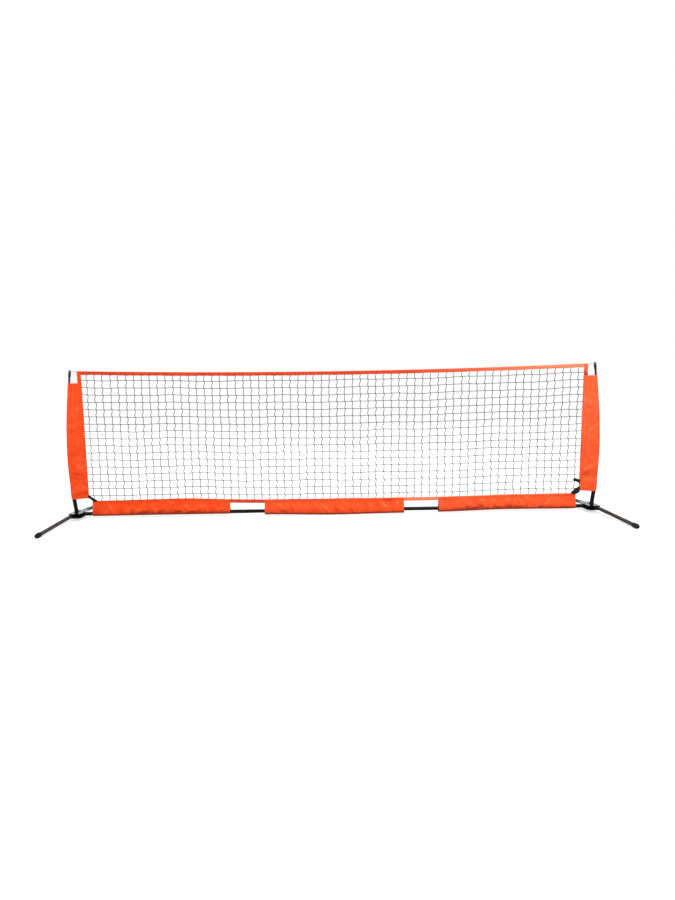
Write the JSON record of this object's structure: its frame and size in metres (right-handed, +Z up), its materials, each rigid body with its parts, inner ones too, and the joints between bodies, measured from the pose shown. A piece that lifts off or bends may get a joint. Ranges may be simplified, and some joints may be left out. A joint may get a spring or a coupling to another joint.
{
  "type": "portable net on poles",
  "caption": "Low free-standing sports net: orange-edged black mesh between two bowed poles on folding T-shaped feet, joined by a jointed base tube.",
  "frame": {"origin": "on the ground under the middle of the base tube, at the bottom centre of the bounding box", "axes": "+X along the net to the right end seen from the front, +Y from the front to the rear through the net, +Z up"},
  "size_m": [3.051, 0.806, 0.8538],
  "materials": {
    "black_steel": "satin powder coat",
    "leg_steel": "satin paint",
    "zinc_steel": "bright zinc",
    "rubber": "matte",
    "black_plastic": "matte moulded",
    "pole_rod": "satin glass-fibre rod",
    "orange_cloth": "plain woven polyester",
    "orange_tape": "plain woven polyester tape",
    "grey_cord": "braided",
    "black_twine": "knotted polyester twine",
    "webbing": "woven webbing"
  },
  "bodies": {
    "frame": {"base_tube_left": "black_steel", "base_tube_middle": "black_steel", "base_tube_right": "black_steel", "bottom_sleeve_left": "orange_cloth", "bottom_sleeve_middle": "orange_cloth", "bottom_sleeve_right": "orange_cloth", "bottom_tape": "orange_tape", "button_spring_left": "zinc_steel", "button_spring_right": "zinc_steel", "corner_strap_left": "webbing", "corner_strap_right": "webbing", "foot_bracket_left": "black_steel", "foot_bracket_right": "black_steel", "net": "black_twine", "pivot_rivet_front_left": "zinc_steel", "pivot_rivet_front_right": "zinc_steel", "pivot_rivet_rear_left": "zinc_steel", "pivot_rivet_rear_right": "zinc_steel", "pole_ferrule_left": "black_plastic", "pole_ferrule_right": "black_plastic", "pole_left": "pole_rod", "pole_right": "pole_rod", "pole_socket_left": "black_steel", "pole_socket_right": "black_steel", "pole_tip_left": "black_plastic", "pole_tip_right": "black_plastic", "side_sleeve_left": "orange_cloth", "side_sleeve_right": "orange_cloth", "spigot_left": "zinc_steel", "spigot_right": "zinc_steel", "spigot_rivet_left": "black_steel", "spigot_rivet_right": "black_steel", "strap_end_right": "webbing", "top_band": "orange_tape", "top_cord": "grey_cord", "tube_rivet_inner_left": "black_steel", "tube_rivet_inner_right": "black_steel", "tube_rivet_outer_left": "black_steel", "tube_rivet_outer_right": "black_steel"},
    "leg_front_left_body": {"leg_front_left": "leg_steel", "leg_cap_front_left": "rubber"},
    "leg_rear_left_body": {"leg_rear_left": "leg_steel", "leg_cap_rear_left": "rubber"},
    "button_left_body": {"snap_button_left": "zinc_steel"},
    "leg_front_right_body": {"leg_front_right": "leg_steel", "leg_cap_front_right": "rubber"},
    "leg_rear_right_body": {"leg_rear_right": "leg_steel", "leg_cap_rear_right": "rubber"},
    "button_right_body": {"snap_button_right": "zinc_steel"}
  },
  "joints": [
    {"name": "leg_front_left_fold", "type": "hinge", "parent": "frame", "child": "leg_front_left_body", "pos_m": [-1.5, -0.045, 0.03], "axis": [0, -0.0509, 0.9987], "range_deg": [0, 90]},
    {"name": "leg_rear_left_fold", "type": "hinge", "parent": "frame", "child": "leg_rear_left_body", "pos_m": [-1.5, 0.045, 0.03], "axis": [0, -0.0509, -0.9987], "range_deg": [0, 90]},
    {"name": "leg_front_right_fold", "type": "hinge", "parent": "frame", "child": "leg_front_right_body", "pos_m": [1.5, -0.045, 0.03], "axis": [0, 0.0509, -0.9987], "range_deg": [0, 90]},
    {"name": "leg_rear_right_fold", "type": "hinge", "parent": "frame", "child": "leg_rear_right_body", "pos_m": [1.5, 0.045, 0.03], "axis": [0, 0.0509, 0.9987], "range_deg": [0, 90]},
    {"name": "button_left_press", "type": "slide", "parent": "frame", "child": "button_left_body", "axis": [0, -1, 0], "range_m": [0, 0.0038], "stiffness_N_per_m": 800, "springref_m": -0.003, "deforming": ["button_spring_left"]},
    {"name": "button_right_press", "type": "slide", "parent": "frame", "child": "button_right_body", "axis": [0, -1, 0], "range_m": [0, 0.0038], "stiffness_N_per_m": 800, "springref_m": -0.003, "deforming": ["button_spring_right"]}
  ]
}
